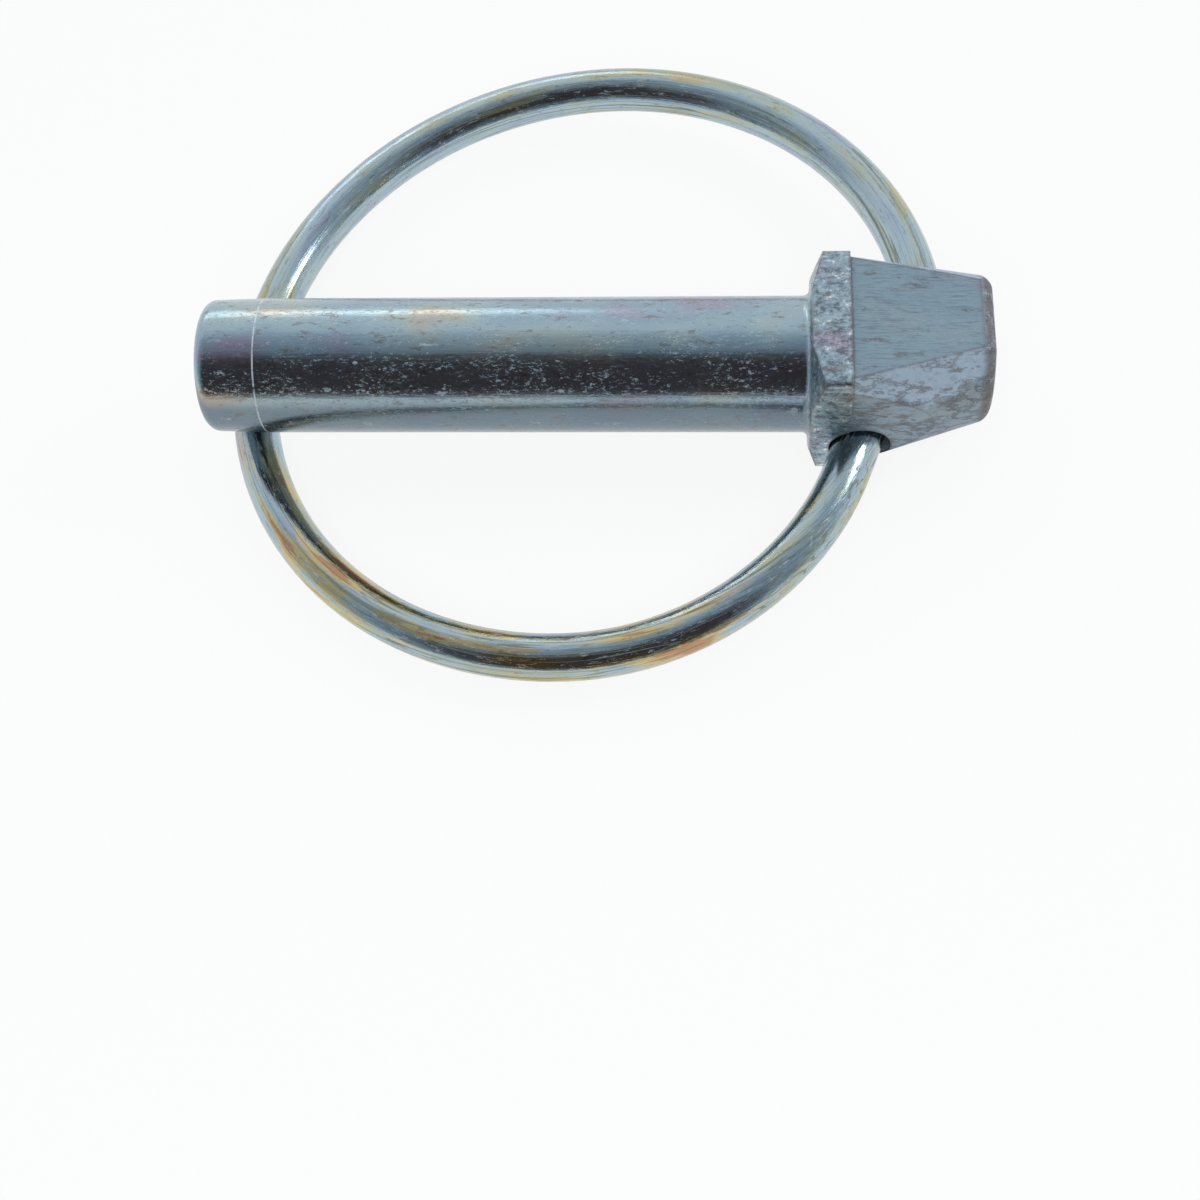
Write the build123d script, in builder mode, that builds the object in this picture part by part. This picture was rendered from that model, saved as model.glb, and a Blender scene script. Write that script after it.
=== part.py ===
"""A spring-ring locking pin of zinc-plated steel, in millimetres.

Two pieces: a pin forged in one with its square tapered head, and a ring of spring wire whose two
ends sit in a hole drilled aslant through the head. The ring swings about that hole.

The origin is on the pin's axis, at the back edge of the head's square land. X runs along the axis
towards the outer end of the head, so the shank lies along -X. The head's planed flat faces +Z.
"""

import os
from math import cos, radians, sin, sqrt

from build123d import *

os.makedirs("parts", exist_ok=True)

# Shank
shank_diameter = 9.525
shank_length = 43.75
tip_round = 0.9
root_fillet = 0.5

# The end of the shank draws in a little, to lead it into its hole
lead_length = 4.35
lead_taper = 1.5

# Square land that seats against the work, with a low cone behind it
land_side = 11.4
land_width = 1.8
land_top_round = 0.5
land_bottom_round = 1.9
land_edge_round = 0.4
land_back_rise = 0.9
land_back_radius = 5.9
land_corner_radius = 8.0

# Tapered forging between the land and the outer end, wider on the far side and on top
head_length = 11.5
forging_root_radius = 7.2
forging_root_centre = (0.1, 0.25)
forging_end_radius = 4.9
forging_end_centre = (0.6, 1.0)
end_round = 1.0

# Planed flats that cut the forging nearly square
flat_half_width = 5.65
flat_end_half_width = 5.3
flat_top_root = 5.4
flat_top_end = 5.2
flat_bottom = 5.4

# Cross hole: where its axis crosses the middle plane, and how it slants
hinge_x = 4.4
hinge_drop = 1.6
hinge_skew = 19.7
hinge_rise = 3.1
hole_diameter = 4.0
hole_shift = 0.2

# Ring of spring wire, measured in its own flat plane
wire_diameter = 3.3
ring_radius = 24.85
ring_centre_out = 21.9
ring_centre_side = -3.8
near_tangent = 8.0
far_bend_radius = 4.0
end_gap = 1.6
closed_gap = 0.15

shank_radius = shank_diameter / 2
wire_radius = wire_diameter / 2
skew = radians(hinge_skew)
rise = radians(hinge_rise)

# The hinge line, from the near side of the head to the far side
hinge_point = Vector(hinge_x, 0, -hinge_drop)
hinge_direction = Vector(sin(skew) * cos(rise), cos(skew) * cos(rise), sin(rise))

# Closed, the wire crosses under the shank near the tip: this point of its centre line is there
ring_plan_x = hinge_x - ring_centre_out * cos(skew) + ring_centre_side * sin(skew)
ring_plan_y = ring_centre_out * sin(skew) + ring_centre_side * cos(skew)
bearing_x = ring_plan_x - sqrt(ring_radius**2 - ring_plan_y**2)
bearing_point = Vector(bearing_x, 0, -(shank_radius + closed_gap + wire_radius))

# The ring lies flat in the plane of the hinge line and that point
to_bearing = bearing_point - hinge_point
ring_normal = hinge_direction.cross(to_bearing).normalized()
ring_across = hinge_direction.cross(ring_normal)


def forging_section(x, radius, centre):
    """A round section of the forging at a distance x from the back edge of the land."""
    with BuildSketch(Plane.YZ.offset(x)) as section:
        with Locations(centre):
            Circle(radius)
    return section.sketch


def flats_section(x, half_width, top):
    """The section that the planed flats leave at a distance x from the back edge of the land."""
    with BuildSketch(Plane.YZ.offset(x)) as section:
        with Locations((0, (top - flat_bottom) / 2)):
            Rectangle(2 * half_width, top + flat_bottom)
    return section.sketch


# The pin: shank, land and head forged in one
with BuildPart() as pin:
    # The head starts as a slanting cone, then the flats are planed on it
    loft(
        [
            forging_section(land_width, forging_root_radius, forging_root_centre),
            forging_section(head_length, forging_end_radius, forging_end_centre),
        ]
    )
    loft(
        [
            flats_section(land_width, flat_half_width, flat_top_root),
            flats_section(head_length, flat_end_half_width, flat_top_end),
        ],
        mode=Mode.INTERSECT,
    )
    fillet(pin.faces().sort_by(Axis.X)[-1].edges(), end_round)

    # The land stands a little proud of the flats
    with BuildSketch(Plane.YZ.offset(-land_back_rise)) as land:
        Rectangle(land_side, land_side)
        fillet(land.vertices().group_by(Axis.Y)[-1], land_top_round)
        fillet(land.vertices().group_by(Axis.Y)[0], land_bottom_round)
    extrude(amount=land_back_rise + land_width)

    # Its back is turned to a low cone that draws in to the shank
    with BuildSketch(Plane.XZ):
        with BuildLine():
            Polyline(
                (-land_back_rise, 0),
                (-land_back_rise, land_back_radius),
                (0, land_corner_radius),
                (head_length, land_corner_radius),
                (head_length, 0),
                close=True,
            )
        make_face()
    revolve(axis=Axis.X, mode=Mode.INTERSECT)
    fillet(pin.faces().sort_by(Axis.X)[0].edges(), land_edge_round)

    # The shank, with its tapered lead, its rounded tip and its fillet under the head
    with BuildSketch(Plane.YZ):
        Circle(shank_radius)
    extrude(amount=lead_length - shank_length)
    with BuildSketch(Plane.YZ.offset(lead_length - shank_length)):
        Circle(shank_radius)
    extrude(amount=-lead_length, taper=lead_taper)
    fillet(pin.faces().sort_by(Axis.X)[0].edges(), tip_round)
    shank_edges = pin.edges().filter_by(GeomType.CIRCLE).filter_by(
        lambda edge: abs(edge.radius - shank_radius) < 0.001
    )
    fillet(shank_edges.sort_by(Axis.X)[-1], root_fillet)

    # The cross hole: the closed ring draws its ends towards the shank, so the hole lies outside them
    with BuildSketch(Plane(origin=hinge_point + ring_across * hole_shift, z_dir=hinge_direction)):
        Circle(hole_diameter / 2)
    extrude(amount=land_side, both=True, mode=Mode.SUBTRACT)

pin.part.label = "pin"
export_step(pin.part, "parts/pin.step")


def in_ring_plane(across, along):
    """A point in the ring's plane: across it from the loop outwards, and along the hinge line."""
    return hinge_point + ring_across * across + hinge_direction * along


# The ring's big arc runs on into a smaller arc at each end
ring_centre = in_ring_plane(-ring_centre_out, ring_centre_side)
tip_side = in_ring_plane(-ring_centre_out - ring_radius, ring_centre_side)


def join_with(centre):
    """The point where a smaller arc about that centre touches the ring's big arc."""
    return ring_centre + (centre - ring_centre).normalized() * ring_radius


def middle_of_arc(centre, start, end):
    """The point half way round an arc between two of its points."""
    return centre + ((start + end) / 2 - centre).normalized() * (start - centre).length


# The near side leaves the big arc early, on a tighter arc that meets the hinge line head on
near_aside = near_tangent + ring_centre_side
near_radius = (
    ring_radius + ring_centre_out - near_aside**2 / (ring_radius - ring_centre_out)
) / 2
near_centre = in_ring_plane(-near_radius, -near_tangent)
near_start = in_ring_plane(0, -near_tangent)
near_join = join_with(near_centre)

# The far side turns into the hole on a short bend
far_reach = ring_radius - far_bend_radius
far_back = ring_centre_out - far_bend_radius
far_tangent = ring_centre_side + sqrt(far_reach**2 - far_back**2)
far_centre = in_ring_plane(-far_bend_radius, far_tangent)
far_start = in_ring_plane(0, far_tangent)
far_join = join_with(far_centre)

# The two ends of the wire stop short of each other inside the hole
far_end = in_ring_plane(0, end_gap / 2)
near_end = in_ring_plane(0, -end_gap / 2)

# The ring: one length of spring wire, from its far end round to its near end
with BuildPart() as ring:
    with BuildLine():
        Line(far_end, far_start)
        ThreePointArc(far_start, middle_of_arc(far_centre, far_start, far_join), far_join)
        ThreePointArc(far_join, tip_side, near_join)
        ThreePointArc(near_join, middle_of_arc(near_centre, near_join, near_start), near_start)
        Line(near_start, near_end)
    with BuildSketch(Plane(origin=far_end, z_dir=hinge_direction)):
        Circle(wire_radius)
    sweep()

ring.part.label = "ring"
export_step(ring.part, "parts/ring.step")
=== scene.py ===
# %% [markdown]
# # A snap pin in blue zinc plate
#
# The object is a small locking pin: a forged steel pin with a square tapered head, and a ring of
# spring wire that swings over and closes round the shank. Both pieces were plated with zinc and
# then dipped in a blue passivate, so they are bright metal with a cold tint and faint rainbow
# colours. The solids come from the CAD model, which already has the right shape, so the work here
# is the camera, the light and above all the two metal surfaces.

# %% Load the solids
from math import cos, radians, sin

import bpy
from mathutils import Euler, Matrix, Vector


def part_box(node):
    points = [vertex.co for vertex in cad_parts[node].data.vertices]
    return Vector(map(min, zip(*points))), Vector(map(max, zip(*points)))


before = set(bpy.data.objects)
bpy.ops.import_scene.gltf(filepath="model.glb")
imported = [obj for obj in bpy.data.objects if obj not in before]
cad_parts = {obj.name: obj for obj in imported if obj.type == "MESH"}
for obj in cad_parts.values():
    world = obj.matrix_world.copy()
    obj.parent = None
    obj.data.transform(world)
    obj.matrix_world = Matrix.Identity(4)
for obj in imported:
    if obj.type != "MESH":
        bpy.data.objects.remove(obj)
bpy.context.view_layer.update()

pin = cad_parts["pin"]
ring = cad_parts["ring"]
print("pin faces", len(pin.data.polygons), "ring faces", len(ring.data.polygons))

# %% [markdown]
# ## The camera
#
# A photograph of a small thing is taken from close by, so the lens and the distance both matter:
# the near side of the ring is drawn larger than the far side. The camera stands about 13 cm away,
# on the near side and well above, and it is turned so that the shank lies level in the picture.

# %% Camera
millimetre = 0.001
camera_place = Vector((-6.07, -77.2, 110.06)) * millimetre
camera_turn = Euler((radians(28.01), radians(3.41), radians(2.20)), "XYZ")

lens = bpy.data.cameras.new("close_up_lens")
lens.lens = 56.69
lens.sensor_width = 36.0
lens.clip_start = 0.005
camera = bpy.data.objects.new("camera", lens)
camera.location = camera_place
camera.rotation_euler = camera_turn
bpy.context.scene.collection.objects.link(camera)
bpy.context.scene.camera = camera
print("camera", [round(v / millimetre, 1) for v in camera.location], "mm")

# %% [markdown]
# ## Two small helpers
#
# Colours are easiest to choose as the hex values that a screen shows. Blender works with linear
# light, so one function turns the one into the other. A second function adds a shader node, sets
# its options and joins its inputs, which keeps each material short enough to read.


# %% Colour and node helpers
def colour(hex_value):
    """An sRGB hex colour as the linear colour that Blender mixes light with."""
    channels = [int(hex_value[i:i + 2], 16) / 255 for i in (1, 3, 5)]
    linear = [c / 12.92 if c <= 0.04045 else ((c + 0.055) / 1.055) ** 2.4 for c in channels]
    return (*linear, 1.0)


def add(tree, kind, inputs=(), **options):
    """A new shader node. Each input is a number, a colour or the output of another node."""
    node = tree.nodes.new("ShaderNode" + kind)
    for name, value in options.items():
        setattr(node, name, value)
    for name, value in dict(inputs).items():
        socket = node.inputs[name]
        if isinstance(value, bpy.types.NodeSocket):
            tree.links.new(value, socket)
        else:
            socket.default_value = value
    return node


print("zinc blue in linear light", [round(c, 3) for c in colour("#b4c6cf")[:3]])

# %% [markdown]
# ## The studio
#
# Polished metal has almost no look of its own: it shows the room. The real shank is pale along its
# top, dark along its middle and pale again below. That is what a white table, a light room behind
# and a dark room on the camera's side would give, so the studio here is set up that way. The room
# itself isn't known, and the numbers were matched. Most of each band is a reflection, which
# moves as the pin turns. The shank's underside also gets some painted shade, further down.


# %% World light
towards_dark_end = (-0.05, -0.855, 0.516)
room_shades = ((0.30, "#b9c2ca"), (0.64, "#98a2ac"), (0.80, "#57504e"))


def make_world():
    """A pale room with a dark end on the near side, seen only in reflections and as soft light."""
    world = bpy.data.worlds.new("studio_room")
    world.use_nodes = True
    tree = world.node_tree
    tree.nodes.clear()
    direction = add(tree, "TexCoord").outputs["Generated"]
    towards_dark = add(
        tree, "VectorMath", {0: direction, 1: towards_dark_end}, operation="DOT_PRODUCT"
    ).outputs["Value"]
    shade = add(tree, "ValToRGB", {"Fac": towards_dark})
    shade.color_ramp.interpolation = "EASE"
    stops = shade.color_ramp.elements
    stops[0].position, stops[0].color = 0.05, colour("#eef1f4")
    stops[1].position, stops[1].color = 0.91, colour("#4a4041")
    for place, value in room_shades:
        stop = stops.new(place)
        stop.color = colour(value)
    room = add(tree, "Background", {"Color": shade.outputs["Color"], "Strength": 1.0})
    white = add(tree, "Background", {"Color": colour("#ffffff"), "Strength": 1.0})
    seen = add(tree, "LightPath").outputs["Is Camera Ray"]
    mixed = add(tree, "MixShader", {0: seen, 1: room.outputs[0], 2: white.outputs[0]})
    add(tree, "OutputWorld", {"Surface": mixed.outputs[0]})
    return world


bpy.context.scene.world = make_world()

# %% [markdown]
# Two soft boxes add the crisp highlights: one behind the object on the left, which runs along the
# upper rim of the wire and the tip, and a small one on the right for the head. A soft box is an
# area lamp, and its size decides how soft the edge of its reflection is. A third, broad one on the
# camera's side is a fill for what is dull and chalky. It is hidden from reflections, because a
# real lamp there would draw a pale stripe along the dark band of the shank.


# %% Soft boxes
middle_of_object = (-15, 0, 0)


def soft_box(name, place, size, power, tint):
    """An area lamp at a place in millimetres, turned towards the middle of the object."""
    lamp = bpy.data.lights.new(name, "AREA")
    lamp.shape = "RECTANGLE"
    lamp.size, lamp.size_y = size[0] * millimetre, size[1] * millimetre
    lamp.energy = power
    lamp.color = colour(tint)[:3]
    holder = bpy.data.objects.new(name, lamp)
    holder.location = Vector(place) * millimetre
    aim = Vector(middle_of_object) * millimetre - holder.location
    holder.rotation_euler = aim.to_track_quat("-Z", "Y").to_euler()
    bpy.context.scene.collection.objects.link(holder)
    return holder


# Places and sizes in millimetres, power in watts
soft_box("back_soft_box", (-150, 330, 150), (220, 60), 0.07, "#fffdf8")
soft_box("side_soft_box", (210, 60, 200), (50, 80), 0.10, "#f4f8ff")
fill = soft_box("fill_soft_box", (-40, -220, 260), (220, 220), 0.50, "#f8fbff")
fill.visible_glossy = False
print("lamps", [lamp.name for lamp in bpy.data.lights])

# %% [markdown]
# ## The table
#
# Left alone, the pin lies on two places: the lower edge of its square land, and the lowest point
# of the ring near the tip. The table is laid through those two places, so it slopes a little
# against the axis of the pin. Its material is plain white. The camera and the reflections see it
# mostly as even white, and the rest is ordinary diffuse white that takes the object's shadow.

# %% Table top
ring_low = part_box("ring")[0]
pin_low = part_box("pin")[0]
land_edge_x = 1.8 * millimetre
ring_low_x = -41.4 * millimetre
slope = (pin_low[2] - ring_low[2]) / (land_edge_x - ring_low_x)
table_gap = 0.02 * millimetre
even_white = 0.88


def make_table():
    """A broad white plane that touches the land's lower edge and the ring."""
    reach = 1.5
    corners = []
    for x, y in ((-reach, -reach), (reach, -reach), (reach, reach), (-reach, reach)):
        corners.append((x, y, pin_low[2] + slope * (x - land_edge_x) - table_gap))
    mesh = bpy.data.meshes.new("table_top")
    mesh.from_pydata(corners, [], [(0, 1, 2, 3)])
    table = bpy.data.objects.new("table_top", mesh)
    bpy.context.scene.collection.objects.link(table)

    paint = bpy.data.materials.new("white_table_board")
    paint.use_nodes = True
    tree = paint.node_tree
    tree.nodes.clear()
    path = add(tree, "LightPath")
    direct = add(
        tree, "Math", {0: path.outputs["Is Camera Ray"], 1: path.outputs["Is Glossy Ray"]},
        operation="MAXIMUM",
    )
    direct = add(
        tree, "Math", {0: direct.outputs[0], 1: path.outputs["Is Transmission Ray"]},
        operation="MAXIMUM",
    )
    share = add(tree, "Math", {0: direct.outputs[0], 1: even_white}, operation="MULTIPLY")
    board = add(tree, "BsdfDiffuse", {"Color": colour("#f6f6f6")})
    glow = add(tree, "Emission", {"Color": colour("#ffffff"), "Strength": 1.0})
    mixed = add(tree, "MixShader", {0: share.outputs[0], 1: board.outputs[0], 2: glow.outputs[0]})
    add(tree, "OutputMaterial", {"Surface": mixed.outputs[0]})
    mesh.materials.append(paint)
    return table


table = make_table()
print("table slope", round(slope, 4))

# %% [markdown]
# ## Zinc-plated forged steel
#
# The pin is one forging in low-carbon steel. Its shank was turned and is smooth, with short fine
# marks along it. The head kept its forged skin, rough and pitted, except where the top was planed.
# All of it is plated with bright zinc and a blue passivate: to the eye a cold silver, with a film
# so thin that it turns gold, violet or green in places. Sharp edges lose the film first and go
# brown.
#
# The whole pin is one node, so one material tells its zones apart by where a point lies along the
# axis and which way its surface faces in the object's own space. The shank's sides and underside
# get painted shade, a duller, darker colour than its top that stands in for a darker reflection
# there, matched to the lower pale band of the real one.


# %% Helpers for zones and patterns
def millimetres(tree):
    """The place of a point on its own piece, in millimetres."""
    place = add(tree, "TexCoord").outputs["Object"]
    return add(tree, "VectorMath", {0: place, "Scale": 1000.0}, operation="SCALE").outputs[0]


def step(tree, value, start, end):
    """0 below start and 1 above end, with a soft change between them."""
    return add(
        tree, "MapRange", {"Value": value, "From Min": start, "From Max": end},
        interpolation_type="SMOOTHSTEP",
    ).outputs["Result"]


def multiply(tree, first, second):
    """The product of two values."""
    return add(tree, "Math", {0: first, 1: second}, operation="MULTIPLY").outputs[0]


def blend_value(tree, share, first, second):
    """Goes from the first value to the second as share goes from 0 to 1."""
    return add(
        tree, "MapRange", {"Value": share, "To Min": first, "To Max": second}
    ).outputs["Result"]


def blend_colour(tree, share, first, second, mode="MIX"):
    """Goes from the first colour to the second as share goes from 0 to 1."""
    mix = add(tree, "Mix", data_type="RGBA", blend_type=mode)
    for socket, value in ((mix.inputs[0], share), (mix.inputs[6], first), (mix.inputs[7], second)):
        if isinstance(value, bpy.types.NodeSocket):
            tree.links.new(value, socket)
        else:
            socket.default_value = value
    return mix.outputs[2]


def noise(tree, place, stretch, size, detail=3.0, roughness=0.55):
    """Cloudy noise whose blotches are about size millimetres, drawn out by stretch."""
    scaled = add(
        tree, "VectorMath", {0: place, 1: tuple(1 / s for s in stretch)}, operation="MULTIPLY"
    ).outputs[0]
    return add(
        tree, "TexNoise",
        {"Vector": scaled, "Scale": 1.0 / size, "Detail": detail, "Roughness": roughness},
    ).outputs["Fac"]


def add_up(tree, first, second):
    """The sum of two values."""
    return add(tree, "Math", {0: first, 1: second}, operation="ADD").outputs[0]


def larger(tree, first, second):
    """The larger of two values."""
    return add(tree, "Math", {0: first, 1: second}, operation="MAXIMUM").outputs[0]


def thin_line(tree, value, middle, half_width):
    """1 where the value is at the middle, falling to 0 a half width to either side."""
    away = add(tree, "Math", {0: value, 1: middle}, operation="SUBTRACT").outputs[0]
    away = add(tree, "Math", {0: away}, operation="ABSOLUTE").outputs[0]
    return step(tree, away, half_width, half_width * 0.3)


# %% [markdown]
# The passivate's colours change slowly, so they come from one soft noise and a colour ramp. The
# short pale strokes on the shank are places where the bright plate is scuffed: they scatter light
# like chalk, so there the shader is rougher and less of a metal. That is what makes them show
# against the dark reflection. The worn brown edges come from the Bevel node. It gives the surface
# direction as if the edges were rounded, and where that differs from the true one, there is an
# edge nearby.


# %% Zinc plate on the forged pin
def forged_zinc():
    """Bright zinc with a blue passivate on the pin: turned shank, forged and planed head."""
    plate = bpy.data.materials.new("zinc_plated_forged_steel")
    plate.use_nodes = True
    tree = plate.node_tree
    tree.nodes.clear()
    place = millimetres(tree)
    along = add(tree, "SeparateXYZ", {0: place}).outputs["X"]
    facing = add(tree, "SeparateXYZ", {0: add(tree, "TexCoord").outputs["Normal"]})

    # Zones: the head with its land, the planed top, the near and far flats, the forged facets
    on_head = step(tree, along, -1.2, -0.9)
    on_shank = blend_value(tree, on_head, 1.0, 0.0)
    past_land = step(tree, along, 1.75, 1.85)
    on_land = multiply(tree, on_head, blend_value(tree, past_land, 1.0, 0.0))
    on_top = multiply(tree, past_land, step(tree, facing.outputs["Z"], 0.97, 0.995))
    off_top = multiply(tree, past_land, blend_value(tree, on_top, 1.0, 0.0))
    ragged = noise(tree, place, (2.0, 1.0, 1.0), 1.2, 4.0, 0.65)
    rise = add_up(tree, facing.outputs["Z"], blend_value(tree, ragged, -0.45, 0.45))
    on_facet = multiply(tree, off_top, step(tree, rise, 0.36, 0.46))
    # Where the shank faces sideways and down, for painted shade
    underside_painted_shade = multiply(tree, on_shank, step(tree, facing.outputs["Z"], 0.50, 0.20))

    # Colour: cold silver with slow drifts of the passivate's film colours
    film = noise(tree, place, (2.0, 1.0, 1.0), 5.0, 2.0)
    tint = add(tree, "ValToRGB", {"Fac": film})
    stops = tint.color_ramp.elements
    stops[0].position, stops[0].color = 0.32, colour("#a39fb0")
    stops[1].position, stops[1].color = 0.70, colour("#b5ac9f")
    for where, value in ((0.41, "#97acba"), (0.52, "#a0b6bf"), (0.62, "#aab8b8")):
        stops.new(where).color = colour(value)
    base = tint.outputs["Color"]
    # Painted shade: the shank's sides and underside are darkened, standing in for a darker
    # reflection there
    base = blend_colour(tree, multiply(tree, underside_painted_shade, 0.8), base, colour("#667580"))

    # Fine tan specks, and pale scuffs drawn out along the axis
    speck = step(tree, noise(tree, place, (2.6, 1.0, 1.0), 0.40, 5.0, 0.75), 0.56, 0.64)
    base = blend_colour(tree, multiply(tree, speck, 0.55), base, colour("#756656"))
    scuff = step(tree, noise(tree, place, (2.4, 1.0, 1.0), 0.18, 6.0, 0.85), 0.53, 0.68)
    scuff_patch = step(tree, noise(tree, place, (3.0, 1.0, 1.0), 1.6, 5.0, 0.7), 0.38, 0.64)
    scuff = multiply(tree, scuff, blend_value(tree, scuff_patch, 0.2, 1.0))
    stroke = step(tree, noise(tree, place, (2.2, 1.0, 1.4), 0.55, 5.0, 0.7), 0.62, 0.68)
    scuff = larger(tree, scuff, multiply(tree, stroke, 0.9))
    base = blend_colour(tree, multiply(tree, scuff, 0.5), base, colour("#c3ccd2"))

    # The planed top is a duller blue with dark tool marks, the forged facets are pale and chalky
    tool_mark = noise(tree, place, (14.0, 1.0, 1.0), 0.13, 5.0, 0.8)
    base = blend_colour(tree, multiply(tree, on_top, 0.7), base, colour("#93a8b5"))
    marked = multiply(tree, on_top, step(tree, tool_mark, 0.50, 0.60))
    base = blend_colour(tree, multiply(tree, marked, 0.42), base, colour("#63727d"))
    base = blend_colour(tree, multiply(tree, off_top, 0.6), base, colour("#7e8d9c"))
    base = blend_colour(tree, multiply(tree, on_facet, 0.9), base, colour("#b3c5d4"))
    mottle = noise(tree, place, (1.4, 1.0, 1.0), 0.5, 5.0, 0.8)
    shaded = multiply(tree, off_top, step(tree, mottle, 0.50, 0.62))
    base = blend_colour(tree, multiply(tree, shaded, 0.35), base, colour("#74808c"))

    # The land is hammered: painted shade makes it dark in its hollows, painted highlights make it
    # bright on its bumps
    land_painted_shade = multiply(tree, on_land, step(tree, mottle, 0.50, 0.60))
    base = blend_colour(tree, multiply(tree, land_painted_shade, 0.7), base, colour("#535a5f"))
    land_painted_highlight = multiply(tree, on_land, step(tree, mottle, 0.44, 0.36))
    base = blend_colour(tree, multiply(tree, land_painted_highlight, 0.85), base, colour("#eef3f6"))

    # Brown where the film has gone: sharp edges, the outer end, flecks and wandering creases
    fleck_noise = noise(tree, place, (2.6, 1.0, 1.0), 1.1, 6.0, 0.75)
    fleck = multiply(tree, step(tree, fleck_noise, 0.57, 0.63), on_head)
    bevel = add(tree, "Bevel", {"Radius": 0.30 * millimetre}, samples=4)
    normal = add(tree, "NewGeometry").outputs["Normal"]
    bend = add(
        tree, "VectorMath", {0: bevel.outputs[0], 1: normal}, operation="DOT_PRODUCT"
    ).outputs["Value"]
    edge_break = step(tree, noise(tree, place, (1.0, 1.0, 1.0), 0.6, 5.0, 0.75), 0.34, 0.50)
    on_edge = multiply(tree, multiply(tree, step(tree, bend, 0.998, 0.972), on_head), edge_break)
    off_end_face = step(tree, facing.outputs["X"], 0.97, 0.85)
    on_end = multiply(tree, step(tree, along, 10.3, 11.0), multiply(tree, edge_break, off_end_face))
    wander = noise(tree, place, (3.0, 1.0, 1.0), 2.6, 5.0, 0.7)
    crease = multiply(tree, thin_line(tree, wander, 0.5, 0.03), multiply(tree, off_top, edge_break))
    worn = larger(tree, multiply(tree, on_edge, 0.9), multiply(tree, on_end, 0.9))
    worn = larger(tree, worn, larger(tree, multiply(tree, fleck, 0.7), multiply(tree, crease, 0.5)))
    base = blend_colour(tree, multiply(tree, worn, 0.85), base, colour("#6a5b50"))

    # A fine pale line runs round the shank where its tapered lead begins
    lead_start = -39.4
    lead_line = multiply(tree, thin_line(tree, along, lead_start, 0.09), edge_break)
    base = blend_colour(tree, multiply(tree, lead_line, 0.7), base, colour("#dfe6ea"))

    # Roughness: smooth shank, satin land, dull planed top, chalky facets and scuffs
    smear = noise(tree, place, (7.0, 1.0, 1.0), 0.6, 5.0, 0.7)
    rough = blend_value(tree, smear, 0.08, 0.30)
    for zone, more in (
        (on_land, 0.10), (past_land, 0.20), (on_top, 0.10), (on_facet, 0.15), (scuff, 0.30),
        (lead_line, 0.25), (worn, 0.15),
    ):
        rough = add_up(tree, rough, multiply(tree, zone, more))
    dull = larger(tree, multiply(tree, on_facet, 0.75), multiply(tree, scuff, 0.45))
    for zone, share in ((off_top, 0.35), (worn, 0.8), (lead_line, 0.6)):
        dull = larger(tree, dull, multiply(tree, zone, share))
    metal = add(tree, "Math", {0: 1.0, 1: dull}, operation="SUBTRACT").outputs[0]

    # Relief, with depths in millimetres as listed: turned marks on the shank, then pits, tool
    # marks, hammer swell and creases on the head, and scuffs
    turned = noise(tree, place, (12.0, 1.0, 1.0), 0.22, 4.0, 0.65)
    pits = noise(tree, place, (1.5, 1.0, 1.0), 0.40, 6.0, 0.72)
    swell = noise(tree, place, (1.3, 1.0, 1.0), 1.8, 3.0)
    relief = None
    for height, depth, strength in (
        (turned, 0.012, 0.8), (pits, 0.07, on_head), (tool_mark, 0.030, on_top),
        (swell, 0.20, multiply(tree, on_head, blend_value(tree, on_top, 1.0, 0.5))),
        (crease, -0.05, 1.0), (scuff, 0.010, 0.8),
    ):
        inputs = {"Height": height, "Distance": depth * millimetre, "Strength": strength}
        if relief is not None:
            inputs["Normal"] = relief
        relief = add(tree, "Bump", inputs).outputs[0]

    skin = add(
        tree, "BsdfPrincipled",
        {"Base Color": base, "Metallic": metal, "Roughness": rough, "Normal": relief},
    )
    add(tree, "OutputMaterial", {"Surface": skin.outputs[0]})
    return plate


forged_plate = forged_zinc()
for place_in_list in range(len(pin.material_slots)):
    pin.material_slots[place_in_list].material = forged_plate
print("pin slots", len(pin.material_slots))

# %% [markdown]
# ## Zinc-plated spring wire
#
# The ring was coiled from hard-drawn wire, which has fine lines along its length from the die.
# They stretch every reflection round the wire. On the near bend, the film of passivate shows gold
# and copper. To draw lines along a bent wire, the material needs to know how far round the ring a
# point lies: it measures the point from the ring's centre, in the ring's own plane. The angle
# jumps by a full turn at one place, so that place is put inside the hole, by the wire's two ends,
# where nobody sees it.

# %% The ring's own directions
hinge_skew, hinge_rise = radians(19.7), radians(3.1)
hinge_line = Vector((
    sin(hinge_skew) * cos(hinge_rise), cos(hinge_skew) * cos(hinge_rise), sin(hinge_rise)
))
hinge_place = Vector((4.4, 0.0, -1.6))
under_tip = Vector((-41.7, 0.0, -6.56))
ring_upward = hinge_line.cross(under_tip - hinge_place).normalized()
ring_outward = hinge_line.cross(ring_upward)
ring_middle = hinge_place - ring_outward * 21.9 - hinge_line * 3.8
print("ring middle", [round(v, 2) for v in ring_middle], "mm")


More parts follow.
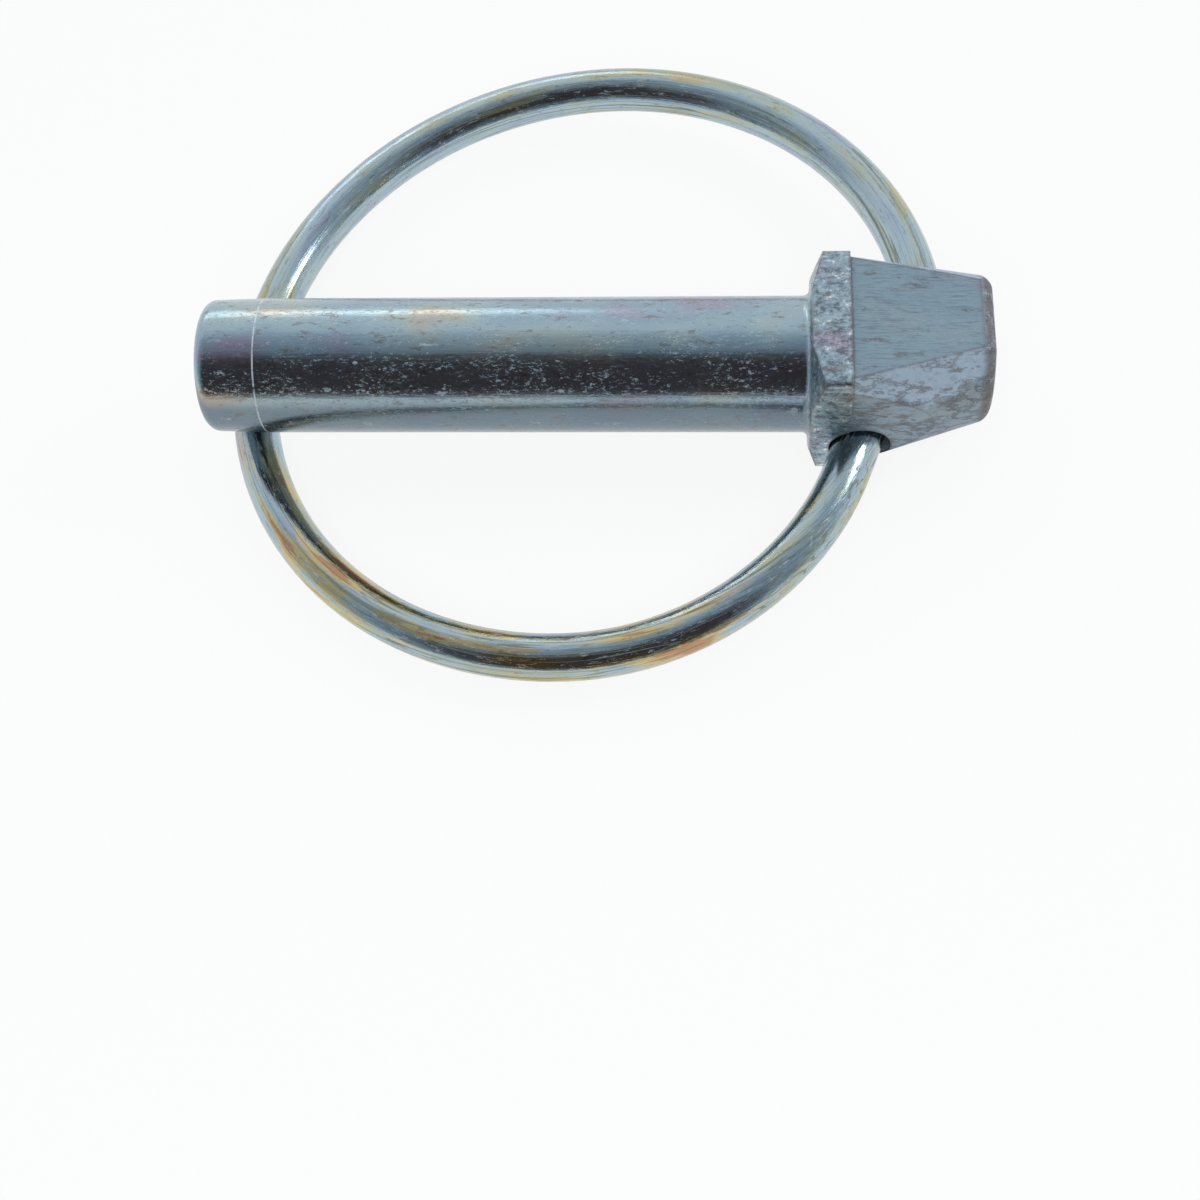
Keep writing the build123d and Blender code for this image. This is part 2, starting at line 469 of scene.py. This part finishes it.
# %% Zinc plate on the spring wire
def wire_zinc():
    """Bright zinc with a blue passivate on drawn wire, with lines that follow the wire."""
    plate = bpy.data.materials.new("zinc_plated_spring_wire")
    plate.use_nodes = True
    tree = plate.node_tree
    tree.nodes.clear()
    place = millimetres(tree)
    from_middle = add(
        tree, "VectorMath", {0: place, 1: tuple(ring_middle)}, operation="SUBTRACT"
    ).outputs[0]

    def part_along(direction):
        return add(
            tree, "VectorMath", {0: from_middle, 1: tuple(direction)}, operation="DOT_PRODUCT"
        ).outputs["Value"]

    outward, sideways, upward = map(part_along, (ring_outward, hinge_line, ring_upward))
    inward = multiply(tree, outward, -1.0)
    turn = add(tree, "Math", {0: sideways, 1: inward}, operation="ARCTAN2").outputs[0]
    flat = add(tree, "CombineXYZ", {"X": outward, "Y": sideways})
    radius = add(tree, "VectorMath", {0: flat.outputs[0]}, operation="LENGTH").outputs["Value"]
    length_round = multiply(tree, turn, 24.9)
    wire_place = add(
        tree, "CombineXYZ", {"X": length_round, "Y": radius, "Z": upward}
    ).outputs[0]

    # Colour: cold silver that drifts through violet, green and gold in long patches
    film = noise(tree, wire_place, (7.0, 1.0, 1.0), 1.3, 3.0)
    tint = add(tree, "ValToRGB", {"Fac": film})
    stops = tint.color_ramp.elements
    stops[0].position, stops[0].color = 0.30, colour("#a3a3bb")
    stops[1].position, stops[1].color = 0.72, colour("#c0b08c")
    for where, value in (
        (0.38, "#a5b4c4"), (0.46, "#a7bcc6"), (0.54, "#aebfc2"), (0.60, "#adb6a9"),
        (0.66, "#bcb999"),
    ):
        stops.new(where).color = colour(value)
    base = tint.outputs["Color"]
    bend_film = noise(tree, wire_place, (9.0, 1.0, 1.0), 1.0, 3.0)
    near_bend = step(tree, sideways, -12.0, -21.0)
    gold = multiply(tree, near_bend, step(tree, bend_film, 0.46, 0.56))
    base = blend_colour(tree, multiply(tree, gold, 0.8), base, colour("#d2bd7c"))
    plum = multiply(tree, near_bend, step(tree, bend_film, 0.57, 0.63))
    base = blend_colour(tree, multiply(tree, plum, 0.75), base, colour("#b47d62"))
    speck = step(tree, noise(tree, wire_place, (4.0, 1.0, 1.0), 0.35, 5.0, 0.75), 0.56, 0.65)
    base = blend_colour(tree, multiply(tree, speck, 0.5), base, colour("#736551"))

    # Drawn lines: in colour, in polish and in relief, with a few deep ones that hold olive film
    line = noise(tree, wire_place, (70.0, 1.0, 1.0), 0.15, 4.0, 0.65)
    dark_line = step(tree, line, 0.52, 0.62)
    base = blend_colour(tree, multiply(tree, dark_line, 0.35), base, colour("#66747e"))
    deep = noise(tree, wire_place, (50.0, 1.0, 1.0), 0.9, 2.0)
    deep_line = thin_line(tree, deep, 0.56, 0.02)
    base = blend_colour(tree, multiply(tree, deep_line, 0.6), base, colour("#646a48"))
    scuff = step(tree, noise(tree, wire_place, (5.0, 1.0, 1.0), 0.25, 5.0, 0.8), 0.54, 0.66)
    base = blend_colour(tree, multiply(tree, scuff, 0.4), base, colour("#c6ced3"))
    smear = noise(tree, wire_place, (12.0, 1.0, 1.0), 0.8, 5.0, 0.65)
    rough = add_up(tree, blend_value(tree, smear, 0.08, 0.28), multiply(tree, scuff, 0.25))
    metal = blend_value(tree, larger(tree, scuff, deep_line), 1.0, 0.6)
    relief = add(tree, "Bump", {"Height": line, "Distance": 0.018 * millimetre, "Strength": 0.8})
    dents = noise(tree, wire_place, (3.0, 1.0, 1.0), 1.1, 4.0)
    relief = add(
        tree, "Bump",
        {
            "Height": dents, "Distance": 0.05 * millimetre, "Strength": 0.7,
            "Normal": relief.outputs[0],
        },
    )
    skin = add(
        tree, "BsdfPrincipled",
        {"Base Color": base, "Metallic": metal, "Roughness": rough, "Normal": relief.outputs[0]},
    )
    add(tree, "OutputMaterial", {"Surface": skin.outputs[0]})
    return plate


wire_plate = wire_zinc()
for place_in_list in range(len(ring.material_slots)):
    ring.material_slots[place_in_list].material = wire_plate
print("ring slots", len(ring.material_slots))

# %% [markdown]
# ## Finish
#
# The picture's colours are shown as they are, with no film curve.

# %% Finish
bpy.context.scene.view_settings.view_transform = "Standard"
